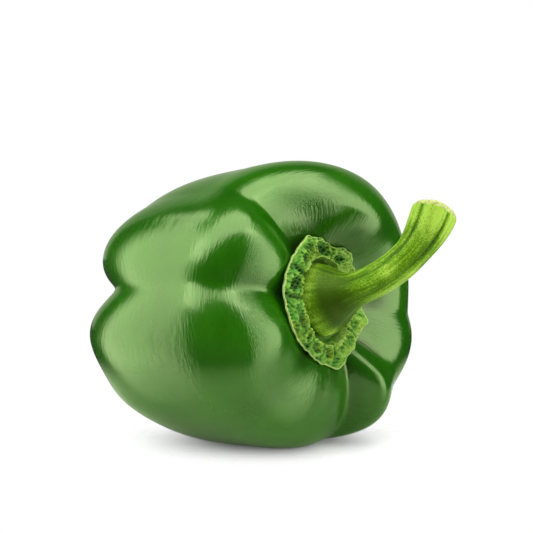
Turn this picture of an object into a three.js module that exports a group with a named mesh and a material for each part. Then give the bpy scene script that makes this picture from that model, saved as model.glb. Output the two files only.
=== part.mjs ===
// A green bell pepper lying on its side, in millimetres with +Z up.
// The fruit's own axis runs along X, its stem end towards +X and tipped up, and its belly rests on z = 0.
// Angles round the axis start at +Y and turn towards +Z, so 90 is the top and 180 the front.
import * as THREE from "three";

// Driving dimensions of the fruit.
const girthRadius = 43;
const shoulderReach = 31.5;
const blossomReach = 47;
const shoulderTaper = 0.055;
const shoulderFullness = 2.6;
const blossomFullness = 2.2;
const endFlatness = 3.2;
const pitchDegrees = 9.5;
const bellyHeight = 42.35;
const middle = { along: -7.184, across: 1.019 };

// The hollow that the calyx lies in, and the dimple at the blossom end.
const hollow = { depth: 10.8, radius: 20.5, edge: 3, across: 0.02, upward: 0.17 };
const shoulderStart = { radius: 23, edge: 4 };
const shoulderSearch = { farthest: 0.45, steps: 40 };
const dimple = { depth: 7, radius: 11, edge: 2 };

// Soft radial pleats of the shoulder beside the calyx: a dent, or a swelling where the depth is below zero.
const pleats = [
  { angle: 98, width: 14, depth: 1.3 },
  { angle: 52, width: 16, depth: -2 },
];
const pleatBelt = { radius: 21.5, reach: 7 };

// Grooves between the lobes: how deep each cuts into the wall at the shoulder, halfway and at the blossom end,
// how far it notches the rim of the stem end and of the blossom end, and its rounding, which is 0 for a sharp
// crease and 1 for a broad hollow.
const grooves = [
  { angle: 115, shoulder: 1.6, halfway: 1.5, blossom: 2.8, stemNotch: 8.5, blossomNotch: 2, rounding: 0.2 },
  { angle: 160, shoulder: 3, halfway: 2, blossom: 6.5, stemNotch: 6, blossomNotch: 7.5, rounding: 0.05 },
  { angle: 216, shoulder: 0.7, halfway: 0, blossom: 0, stemNotch: 2.2, blossomNotch: 0, rounding: 0.5 },
  { angle: 277, shoulder: 3.8, halfway: 1.2, blossom: 7.5, stemNotch: 8, blossomNotch: 5, rounding: 0.05 },
  { angle: 305, shoulder: 1.3, halfway: 0.8, blossom: 1.8, stemNotch: 1.5, blossomNotch: 1, rounding: 0.2 },
  { angle: 344, shoulder: 2.3, halfway: 2, blossom: 5.5, stemNotch: 2, blossomNotch: 4, rounding: 0.1 },
];
const creaseSharpness = 0.62;

// Lobe i lies between groove i and groove i + 1: how much it swells at the shoulder and at the blossom end,
// and how far it rises past the reach of the stem end and of the blossom end.
const lobes = [
  { shoulderSwell: -2, blossomSwell: 2, stemRise: -3, blossomRise: 2.2 },
  { shoulderSwell: -2.5, blossomSwell: 5.5, stemRise: -0.5, blossomRise: 4 },
  { shoulderSwell: -1.8, blossomSwell: 1.2, stemRise: -4, blossomRise: 5.5 },
  { shoulderSwell: 3.4, blossomSwell: 0.5, stemRise: 7, blossomRise: -0.5 },
  { shoulderSwell: 1.6, blossomSwell: 0, stemRise: 7.5, blossomRise: 0 },
  { shoulderSwell: 2.3, blossomSwell: -7, stemRise: 8.3, blossomRise: -1 },
];

// Calyx: a fleshy ring round a shallow seat for the stem. It bridges most of the grooves under it.
const clearance = 0.45;
const seat = { across: -4.2, up: 1.5, radius: 11.4, thickness: 1 };
const calyxRadius = 18.5;
const calyxLip = { radius: 11.9, thickness: 2.5 };
const calyxEdgeThickness = 0.55;
const calyxThinnest = 0.5;
const calyxFullness = { height: 1, bias: 0.8, fall: 1.5 };
const calyxGrooveFollow = 0.2;

// Blunt corners of the calyx's outline, or bays where the reach is below zero.
const calyxCorners = [
  { angle: 148, reach: 0.6, width: 26 },
  { angle: 97, reach: 1.1, width: 8 },
  { angle: 61, reach: -1.8, width: 14 },
  { angle: 331, reach: 2, width: 10 },
  { angle: 274, reach: 1.8, width: 9 },
  { angle: 228, reach: -1.9, width: 22 },
  { angle: 187, reach: 0.3, width: 12 },
];
const rimWaves = [
  { count: 23, height: 0.12, turn: 0.7 },
  { count: 37, height: 0.1, turn: 2 },
];

// Cells of the calyx, side by side round the stem: each a plump ring round a pit with a knob in it.
// Their creases, rings, pits and knobs have their places and widths as shares of half a cell.
const cells = { count: 13, middle: 0.47, reach: 0.42 };
const cellWaves = [
  { count: 3, height: 0.3, turn: 1 },
  { count: 7, height: 0.16, turn: 0 },
];
const cellSway = { count: 5, height: 0.08 };
const cellStrength = { middle: 0.8, count: 4, height: 0.2, turn: 2 };
const cellRing = { height: 0.45, at: 0.78, width: 0.2 };
const cellPit = { depth: 1.3, width: 0.5 };
const cellKnob = { height: 0.6, width: 0.16 };
const cellCrease = { depth: 0.8, width: 0.14 };
const lipRoll = { height: 0.9, at: 0.1, width: 0.1, creased: 0.9 };
const reliefFade = { lip: 0.1, edge: 0.08 };

// Stem: a flared, five-cornered foot in the calyx, a ribbed bend and a slanting, domed end.
const footRadius = 10.6;
const shaftRadius = 4.7;
const flare = { length: 0.19, edge: 3 };
const wallStart = 0.045;
const footCorners = { height: 0.025, turn: 0.6 };
const endSwell = { radius: 1.5, start: 0.7 };
const stemEnd = { along: 37.4, across: 9.4, up: 22.2 };
const footPull = 19;
const endPull = { along: 6, across: 3.5, up: 14 };
const ribs = { count: 5, depth: 0.04, fullness: 0.55, start: 0.12, full: 0.4, turn: 80 };
const cut = { along: 0.1, across: 0.6, up: 0.75 };
const slantStart = 0.6;
const dome = 3;

// Fineness of the meshes. Rings are given as shares of a radius, or of the way from the lip to the rim.
const fruitColumnsPerLobe = [10, 12, 12, 8, 9, 16];
const fruitRows = 54;
const rowCrowding = 0.045;
const columnCrowding = 0.6;
const calyxColumns = 104;
const seatRings = [0.3, 0.6, 0.85, 1];
const lipRings = [0.35, 0.7, 1];
const outerRings = [0.06, 0.12, 0.2, 0.29, 0.38, 0.47, 0.56, 0.65, 0.74, 0.84, 0.93, 1];
const underRings = [1, 0.85, 0.7, 0.55, 0.4, 0.25, 0.12];
const stemColumns = 40;
const stemRows = 30;
const footRings = [0.35, 0.7, 0.93];
const domeRings = [0.12, 0.5, 0.9, 1.25];

const fullTurn = 2 * Math.PI;
const toRadians = Math.PI / 180;

function wrapped(degrees) {
  return ((degrees % 360) + 360) % 360;
}

function smooth(share) {
  const inside = Math.min(Math.max(share, 0), 1);
  return inside * inside * (3 - 2 * inside);
}

function blend(first, second, share) {
  return first + (second - first) * share;
}

// A bell curve: 1 where the distance is 0, and near 0 beyond the width.
function bell(distance, width) {
  return Math.exp(-((distance / width) ** 2));
}

function nearness(radius, zone) {
  return Math.exp(-((radius / zone.radius) ** zone.edge));
}

function widthAfter(index) {
  const next = grooves[(index + 1) % grooves.length];
  return wrapped(next.angle - grooves[index].angle);
}

const lobeCentres = grooves.map((groove, index) => wrapped(groove.angle + widthAfter(index) / 2));

// The last of the starts passed on the way round to this angle, and the share of the way to the next one.
function sector(degrees, starts) {
  let index = 0;
  starts.forEach((start, candidate) => {
    if (wrapped(degrees - start) < wrapped(degrees - starts[index])) {
      index = candidate;
    }
  });
  const next = (index + 1) % starts.length;
  const share = wrapped(degrees - starts[index]) / wrapped(starts[next] - starts[index]);
  return { index, next, share };
}

const grooveAngles = grooves.map((groove) => groove.angle);

// Height of the lobe's arch between its two grooves: 0 in the crease, 1 on the crest.
function arch(share, rounding) {
  const half = creaseSharpness / 2;
  const across = Math.sin(Math.PI * share) ** 2;
  const floor = rounding ** half;
  return ((across + rounding) ** half - floor) / ((1 + rounding) ** half - floor);
}

// The shorter way from one angle in degrees to another, with its sign.
function turnFrom(start, degrees) {
  return wrapped(degrees - start + 180) - 180;
}

function pleating(angle) {
  return pleats.reduce((depth, pleat) => {
    return depth + pleat.depth * bell(turnFrom(pleat.angle, angle / toRadians), pleat.width);
  }, 0);
}

// The groove and lobe sizes that hold at one angle, blended smoothly round the fruit.
function lobing(angle) {
  const degrees = wrapped(angle / toRadians);
  const gap = sector(degrees, grooveAngles);
  const crest = sector(degrees, lobeCentres);
  const groove = {};
  for (const size of ["shoulder", "halfway", "blossom", "stemNotch", "blossomNotch", "rounding"]) {
    groove[size] = blend(grooves[gap.index][size], grooves[gap.next][size], smooth(gap.share));
  }
  const lobe = {};
  for (const size of ["shoulderSwell", "blossomSwell", "stemRise", "blossomRise"]) {
    lobe[size] = blend(lobes[crest.index][size], lobes[crest.next][size], smooth(crest.share));
  }
  return { valley: 1 - arch(gap.share, groove.rounding), groove, lobe };
}

// Skin of the fruit in its own frame: distance along the axis and from it.
// The share runs from 0 at the middle of the stem end to 1 at the middle of the blossom end.
function skin(share, angle, grooveFollow = 1) {
  const { valley, groove, lobe } = lobing(angle);
  const dip = valley * grooveFollow;
  const onShoulder = share < 0.5;
  const polar = Math.PI * share;
  const fullness = onShoulder ? shoulderFullness : blossomFullness;
  const ring = Math.abs(Math.sin(polar)) ** (2 / fullness);
  const height = Math.sign(Math.cos(polar)) * Math.abs(Math.cos(polar)) ** (2 / endFlatness);
  const up = (height + 1) / 2;
  const cutIn =
    groove.blossom * (1 - up) * (1 - 2 * up) +
    groove.halfway * 4 * up * (1 - up) +
    groove.shoulder * up * (2 * up - 1);
  const swell = lobe.shoulderSwell * up + lobe.blossomSwell * (1 - up);
  const wall = girthRadius + swell;
  const radius = ring * (1 + shoulderTaper * height) * wall * (1 - (cutIn * dip) / girthRadius);
  if (onShoulder) {
    const lean = radius * (hollow.across * Math.cos(angle) + hollow.upward * Math.sin(angle));
    const rise = (lobe.stemRise - groove.stemNotch * dip) * (1 - nearness(radius, shoulderStart));
    const dent = pleating(angle) * bell(radius - pleatBelt.radius, pleatBelt.reach);
    const along = (shoulderReach + rise) * height - dent - (hollow.depth + lean) * nearness(radius, hollow);
    return { along, radius };
  }
  const nearDimple = nearness(radius, dimple);
  const rise = (lobe.blossomRise - groove.blossomNotch * dip) * (1 - nearDimple);
  return { along: (blossomReach + rise) * height + dimple.depth * nearDimple, radius };
}

// From the fruit's own frame to the part's frame.
function placed(along, across, up) {
  const pitch = pitchDegrees * toRadians;
  return new THREE.Vector3(
    middle.along + along * Math.cos(pitch) - up * Math.sin(pitch),
    middle.across + across,
    bellyHeight + along * Math.sin(pitch) + up * Math.cos(pitch)
  );
}

function placedRound(along, radius, angle) {
  return placed(along, radius * Math.cos(angle), radius * Math.sin(angle));
}

function toPart(point) {
  return placed(point.x, point.y, point.z);
}

// One closed mesh from rings of points between a first and a last point.
function closedMesh(name, first, rings, last, material) {
  const columns = rings[0].length;
  const points = [first, ...rings.flat(), last];
  const lastIndex = points.length - 1;
  const at = (row, column) => 1 + row * columns + (column % columns);
  const triangles = [];
  for (let column = 0; column < columns; column += 1) {
    triangles.push(0, at(0, column), at(0, column + 1));
    triangles.push(lastIndex, at(rings.length - 1, column + 1), at(rings.length - 1, column));
    for (let row = 0; row < rings.length - 1; row += 1) {
      const here = at(row, column);
      const beside = at(row, column + 1);
      const below = at(row + 1, column);
      const across = at(row + 1, column + 1);
      triangles.push(here, below, across, here, across, beside);
    }
  }
  const geometry = new THREE.BufferGeometry();
  geometry.setAttribute("position", new THREE.Float32BufferAttribute(points.flatMap((p) => p.toArray()), 3));
  geometry.setIndex(triangles);
  geometry.computeVertexNormals();
  const mesh = new THREE.Mesh(geometry, material);
  mesh.name = name;
  return mesh;
}

// Fruit: columns crowd towards the creases, and rows towards the two ends and the widest ring.
function fruitAngles() {
  return grooves.flatMap((groove, index) => {
    const count = fruitColumnsPerLobe[index];
    return Array.from({ length: count }, (_, step) => {
      const share = step / count;
      const crowded = blend(share, (1 - Math.cos(Math.PI * share)) / 2, columnCrowding);
      return (groove.angle + widthAfter(index) * crowded) * toRadians;
    });
  });
}

function fruitPoint(share, angle) {
  const { along, radius } = skin(share, angle);
  const point = placedRound(along, radius, angle);
  point.z = Math.max(point.z, 0);
  return point;
}

function makeFruit() {
  const material = new THREE.MeshStandardMaterial({ color: 0x2f7a10, roughness: 0.2, metalness: 0 });
  const angles = fruitAngles();
  const rings = [];
  for (let row = 1; row < fruitRows; row += 1) {
    const even = row / fruitRows;
    const share = even - rowCrowding * Math.sin(2 * fullTurn * even);
    rings.push(angles.map((angle) => fruitPoint(share, angle)));
  }
  return closedMesh("fruit", fruitPoint(0, 0), rings, fruitPoint(1, 0), material);
}

// Height along the axis of the fruit's shoulder at a distance from the axis, found by halving.
function shoulderHeight(radius, angle, grooveFollow = 1) {
  let low = 0;
  let high = shoulderSearch.farthest;
  for (let step = 0; step < shoulderSearch.steps; step += 1) {
    const share = (low + high) / 2;
    if (skin(share, angle, grooveFollow).radius < radius) {
      low = share;
    } else {
      high = share;
    }
  }
  return skin(low, angle, grooveFollow).along;
}

// A point over the seat of the calyx, given round the middle of the seat, at a height over the fruit's skin.
function overSeat(radius, angle, lift) {
  const across = seat.across + radius * Math.cos(angle);
  const up = seat.up + radius * Math.sin(angle);
  const ground = shoulderHeight(Math.hypot(across, up), Math.atan2(up, across), calyxGrooveFollow);
  return new THREE.Vector3(ground + lift, across, up);
}

// A sum of waves round the stem.
function waved(waves, angle) {
  return waves.reduce((sum, wave) => sum + wave.height * Math.sin(wave.count * angle + wave.turn), 0);
}

function calyxRim(angle) {
  const reach = calyxCorners.reduce((sum, corner) => {
    return sum + corner.reach * bell(turnFrom(corner.angle, angle / toRadians), corner.width);
  }, 0);
  return calyxRadius + reach + waved(rimWaves, angle);
}

// Relief of the fleshy ring: its cells and the roll of its lip, none at the lip itself and at the edge.
// The share runs from 0 at the lip to 1 at the edge.
function calyxRelief(share, angle) {
  const phase = (cells.count * angle) / fullTurn + waved(cellWaves, angle);
  const aside = 2 * (phase - Math.floor(phase)) - 1;
  const middleShare = cells.middle + cellSway.height * Math.sin(cellSway.count * angle);
  const outward = (share - middleShare) / cells.reach;
  const away = Math.hypot(aside, outward);
  const strength = cellStrength.middle + waved([cellStrength], angle);
  const crease = bell(1 - Math.abs(aside), cellCrease.width);
  const ring = cellRing.height * bell(away - cellRing.at, cellRing.width);
  const pit = cellPit.depth * strength * bell(away, cellPit.width);
  const knob = cellKnob.height * bell(away, cellKnob.width);
  const furrow = cellCrease.depth * crease * bell(outward, 1);
  const roll = lipRoll.height * (1 - lipRoll.creased * crease) * bell(share - lipRoll.at, lipRoll.width);
  const flesh = smooth((1 - share) / reliefFade.edge) * (ring - pit + knob - furrow);
  return smooth(share / reliefFade.lip) * (flesh + roll);
}

function calyxThickness(radius, angle) {
  if (radius <= calyxLip.radius) {
    const share = (radius - seat.radius) / (calyxLip.radius - seat.radius);
    return blend(seat.thickness, calyxLip.thickness, smooth(share));
  }
  const share = (radius - calyxLip.radius) / (calyxRim(angle) - calyxLip.radius);
  const sloping = blend(calyxLip.thickness, calyxEdgeThickness, share ** calyxFullness.fall);
  const plump = calyxFullness.height * Math.sin(Math.PI * Math.min(share, 1) ** calyxFullness.bias);
  return Math.max(sloping + plump + calyxRelief(share, angle), calyxThinnest);
}

function calyxTop(radius, angle) {
  return overSeat(radius, angle, clearance + calyxThickness(radius, angle));
}

function anglesRound(columns) {
  return Array.from({ length: columns }, (_, column) => (column / columns) * fullTurn);
}

function makeCalyx() {
  const material = new THREE.MeshStandardMaterial({ color: 0x5b8a3c, roughness: 0.6, metalness: 0 });
  const angles = anglesRound(calyxColumns);
  const ringOf = (radiusAt) => angles.map((angle) => toPart(calyxTop(radiusAt(angle), angle)));
  const rings = [
    ...seatRings.map((share) => ringOf(() => share * seat.radius)),
    ...lipRings.map((share) => ringOf(() => blend(seat.radius, calyxLip.radius, share))),
    ...outerRings.map((share) => ringOf((angle) => blend(calyxLip.radius, calyxRim(angle), share))),
    ...underRings.map((share) => angles.map((angle) => toPart(overSeat(share * calyxRim(angle), angle, clearance)))),
  ];
  return closedMesh("calyx", toPart(calyxTop(0, 0)), rings, toPart(overSeat(0, 0, clearance)), material);
}

function stemBottom(radius, angle) {
  const point = calyxTop(radius, angle);
  point.x += clearance;
  return point;
}

// Stem centre line, from the middle of the seat to the cut end, in the fruit's own frame.
function stemLine() {
  const start = stemBottom(0, 0);
  const lean = new THREE.Vector3(1, hollow.across, hollow.upward).normalize();
  const end = start.clone().add(new THREE.Vector3(stemEnd.along, stemEnd.across, stemEnd.up));
  const endGuide = end.clone().sub(new THREE.Vector3(endPull.along, endPull.across, endPull.up));
  return new THREE.CubicBezierCurve3(start, lean.clone().multiplyScalar(footPull).add(start), endGuide, end);
}

// Radius of the stem: the shaft, its flare at the foot and its soft swell at the end.
function girthAt(share) {
  const flared = (footRadius - shaftRadius) * Math.exp(-((share / flare.length) ** flare.edge));
  return shaftRadius + flared + endSwell.radius * smooth((share - endSwell.start) / (1 - endSwell.start));
}

// Soft ribs with narrow valleys that fade out towards the foot, and the foot's blunt corners.
function ribbed(share, angle) {
  const strength = smooth((share - ribs.start) / (ribs.full - ribs.start));
  const wave = Math.abs(Math.sin((ribs.count * angle) / 2 + ribs.turn * toRadians));
  const corners = bell(share, ribs.start) * Math.sin(ribs.count * angle + footCorners.turn);
  return 1 + ribs.depth * strength * (2 * wave ** ribs.fullness - 1) + footCorners.height * corners;
}

function makeStem() {
  const material = new THREE.MeshStandardMaterial({ color: 0x8db33a, roughness: 0.5, metalness: 0 });
  const line = stemLine();
  const angles = anglesRound(stemColumns);
  const cutFace = new THREE.Vector3(cut.along, cut.across, cut.up).normalize();

  // A point on the stem's wall, in the fruit's own frame, slid along the stem onto the cut face.
  const wall = (share, angle, scale, onCut) => {
    const tangent = line.getTangent(share);
    const upward = new THREE.Vector3(0, 0, 1).addScaledVector(tangent, -tangent.z).normalize();
    const sideways = new THREE.Vector3().crossVectors(upward, tangent);
    const spoke = upward.multiplyScalar(Math.sin(angle)).addScaledVector(sideways, -Math.cos(angle));
    const point = spoke.multiplyScalar(girthAt(share) * ribbed(share, angle) * scale);
    point.addScaledVector(tangent, (-onCut * cutFace.dot(point)) / cutFace.dot(tangent));
    return point.add(line.getPoint(share));
  };
  const underside = footRings.map((share) => angles.map((angle) => toPart(stemBottom(share * footRadius, angle))));
  const rings = [];
  for (let row = 0; row < stemRows; row += 1) {
    const share = blend(wallStart, 1, row / (stemRows - 1));
    const slant = smooth((share - slantStart) / (1 - slantStart));
    rings.push(angles.map((angle) => toPart(wall(share, angle, 1, slant))));
  }
  const endwards = line.getTangent(1);
  const domed = domeRings.map((turn) =>
    angles.map((angle) => {
      return toPart(wall(1, angle, Math.cos(turn), 1).addScaledVector(endwards, dome * Math.sin(turn)));
    })
  );
  const last = toPart(line.getPoint(1).addScaledVector(endwards, dome));
  return closedMesh("stem", toPart(stemBottom(0, 0)), [...underside, ...rings, ...domed], last, material);
}

const pepper = new THREE.Group();
pepper.name = "bell_pepper";
pepper.add(makeFruit(), makeCalyx(), makeStem());

export default pepper;
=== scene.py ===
"""A green bell pepper lying on its side, dressed for a soft studio photograph.

The fruit, the calyx and the stem stand for the solid pieces of the same names. Their shapes are
formulas of two parameters, worked out on grids. Sizes are in millimetres in the pepper's own frame
and become metres when a mesh is made.
"""

import logging
import math
from dataclasses import astuple, dataclass
from enum import Enum

import bpy
import numpy as np
from mathutils import Matrix, Vector

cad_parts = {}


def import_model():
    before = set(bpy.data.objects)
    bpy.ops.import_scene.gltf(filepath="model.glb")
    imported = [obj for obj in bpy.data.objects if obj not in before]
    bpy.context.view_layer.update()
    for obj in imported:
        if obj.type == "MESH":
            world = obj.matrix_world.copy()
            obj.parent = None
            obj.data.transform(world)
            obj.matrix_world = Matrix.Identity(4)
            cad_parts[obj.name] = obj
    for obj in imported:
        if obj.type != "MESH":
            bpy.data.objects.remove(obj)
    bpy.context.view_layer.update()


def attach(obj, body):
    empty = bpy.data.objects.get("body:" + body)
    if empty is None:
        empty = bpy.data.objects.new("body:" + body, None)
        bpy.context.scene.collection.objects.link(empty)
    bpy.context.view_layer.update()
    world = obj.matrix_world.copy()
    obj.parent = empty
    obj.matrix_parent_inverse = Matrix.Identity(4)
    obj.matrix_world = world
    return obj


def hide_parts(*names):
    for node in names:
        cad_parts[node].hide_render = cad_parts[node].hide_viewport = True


MM = 0.001
FULL_TURN = 2.0 * math.pi
LOG = logging.getLogger("bell_pepper")
MIX_COLOURS = {"data_type": "RGBA"}
MULTIPLY = {"operation": "MULTIPLY"}
MULTIPLY_ADD = {"operation": "MULTIPLY_ADD"}
SUBTRACT = {"operation": "SUBTRACT"}
SMOOTH_STEP = {"interpolation_type": "SMOOTHSTEP"}
Stops = tuple[tuple[float, str], ...]


def blend(first: np.ndarray, second: np.ndarray, share: np.ndarray) -> np.ndarray:
    """Straight mix: the first value, plus the share of the way to the second one.

    Args:
        first: value where the share is 0.
        second: value where the share is 1.
        share: how far to go from the first to the second.

    Returns:
        The mixed values.
    """
    return first + (second - first) * share


def smooth(share: np.ndarray) -> np.ndarray:
    """Soft step: three times the square of the share less twice its cube, held between 0 and 1.

    Args:
        share: values that may run past 0 and 1.

    Returns:
        Values from 0 to 1 with a level start and end.
    """
    inside = np.clip(share, 0.0, 1.0)
    return inside * inside * (3.0 - 2.0 * inside)


def wrapped(degrees: np.ndarray) -> np.ndarray:
    """Brings angles into one turn, from 0 up to 360 degrees."""
    return np.mod(degrees, 360.0)


def apart(angle: np.ndarray, direction: float) -> np.ndarray:
    """Turn in degrees from a direction in degrees to each angle in radians, from -180 up to 180."""
    return wrapped(np.degrees(angle) - direction + 180.0) - 180.0


def bell(value: np.ndarray, width: float) -> np.ndarray:
    """Bell curve: the exponential of minus the square of the value over the width."""
    return np.exp(-((value / width) ** 2))


def ring_quads(index: np.ndarray) -> np.ndarray:
    """Four-sided faces between each ring of points and the next one, closed round the rings.

    Args:
        index: numbers of the points, one row for each ring.

    Returns:
        The four point numbers of each face.
    """
    beside = np.roll(index, -1, axis=1)
    return np.stack([index[:-1], index[1:], beside[1:], beside[:-1]], axis=-1).reshape(-1, 4)


def linear(code: str) -> tuple[float, float, float, float]:
    """Turns an sRGB colour into the linear one that a shader reads.

    Each channel below 0.04045 is divided by 12.92, and any other is raised to the power 2.4
    after adding 0.055 and dividing by 1.055.

    Args:
        code: six hexadecimal digits after a hash.

    Returns:
        Red, green, blue and an alpha of 1.
    """
    channels = [int(code[start : start + 2], 16) / 255.0 for start in (1, 3, 5)]
    values = [c / 12.92 if c <= 0.04045 else ((c + 0.055) / 1.055) ** 2.4 for c in channels]
    return (values[0], values[1], values[2], 1.0)


def ripples(
    points: np.ndarray, size: float, count: int, seed: int, spread: tuple[float, float] = (0.7, 1.5)
) -> np.ndarray:
    """Smooth random waves: a sum of cosines with random directions, lengths and starts.

    Args:
        points: places in millimetres, with the coordinates on the last axis.
        size: typical wave length in millimetres.
        count: number of waves.
        seed: start of the random draw.
        spread: the shortest and the longest wave, as shares of the typical one.

    Returns:
        Heights of about -1 to 1 at the places.
    """
    draw = np.random.default_rng(seed)
    directions = draw.normal(size=(count, points.shape[-1]))
    directions /= np.linalg.norm(directions, axis=1, keepdims=True)
    lengths = size * draw.uniform(*spread, count)
    starts = draw.uniform(0.0, FULL_TURN, count)
    total = np.zeros(points.shape[:-1])
    for direction, length, start in zip(directions, lengths, starts):
        total += np.cos(points @ direction * FULL_TURN / length + start)
    return total / math.sqrt(count / 2.0)


@dataclass(frozen=True)
class Groove:
    """A valley between two lobes, in millimetres.

    The wall sizes say how deep it cuts at the shoulder, halfway and at the blossom end, and the
    notches how far it lowers the rim of the stem end and of the blossom end. The rounding is a
    plain number: 0 is a sharp crease, and 1 a broad hollow.
    """

    angle: float
    shoulder: float
    halfway: float
    blossom: float
    stem_notch: float
    blossom_notch: float
    rounding: float


@dataclass(frozen=True)
class Lobe:
    """A swelling between two grooves, in millimetres.

    The swells widen it at the shoulder and at the blossom end, and the rises lift its two ends.
    """

    shoulder_swell: float
    blossom_swell: float
    stem_rise: float
    blossom_rise: float


@dataclass(frozen=True)
class Zone:
    """A round area about the fruit's axis that fades out at a radius, faster for a higher edge."""

    radius: float
    edge: float

    def nearness(self, radius: np.ndarray) -> np.ndarray:
        """Gives 1 on the axis and falls to 0: the exponential of minus the radius share to a power."""
        return np.exp(-((radius / self.radius) ** self.edge))


@dataclass(frozen=True)
class Ramp:
    """A soft step from 0 at the start to 1 at the end, which may lie on either side of the start."""

    start: float
    end: float

    def at(self, value: np.ndarray) -> np.ndarray:
        """Soft step of the share of the way from the start to the end."""
        return smooth((value - self.start) / (self.end - self.start))


@dataclass(frozen=True)
class Wave:
    """A waviness round a turn: its height, how many waves there are and their shift in radians."""

    height: float
    count: int
    shift: float = 0.0

    def at(self, angle: np.ndarray) -> np.ndarray:
        """The height times the sine of the angle times the count, plus the shift."""
        return self.height * np.sin(self.count * angle + self.shift)


@dataclass(frozen=True)
class Pleat:
    """A soft radial dent in the shoulder beside the calyx, or a swelling where the depth is below zero.

    The angle and the width are in degrees and the depth in millimetres.
    """

    angle: float
    width: float
    depth: float


PLEATS = (
    Pleat(98, 14, 1.3),
    Pleat(52, 16, -2.0),
)

GROOVES = (
    Groove(115, 1.6, 1.5, 2.8, 8.5, 2, 0.2),
    Groove(160, 3, 2, 6.5, 6, 7.5, 0.05),
    Groove(216, 0.7, 0, 0, 2.2, 0, 0.5),
    Groove(277, 3.8, 1.2, 7.5, 8, 5, 0.05),
    Groove(305, 1.3, 0.8, 1.8, 1.5, 1, 0.2),
    Groove(344, 2.3, 2, 5.5, 2, 4, 0.1),
)

LOBES = (
    Lobe(-2, 2, -3, 2.2),
    Lobe(-2.5, 5.5, -0.5, 4),
    Lobe(-1.8, 1.2, -4, 5.5),
    Lobe(3.4, 0.5, 7, -0.5),
    Lobe(1.6, 0, 7.5, 0),
    Lobe(2.3, -7, 8.3, -1),
)


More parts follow.
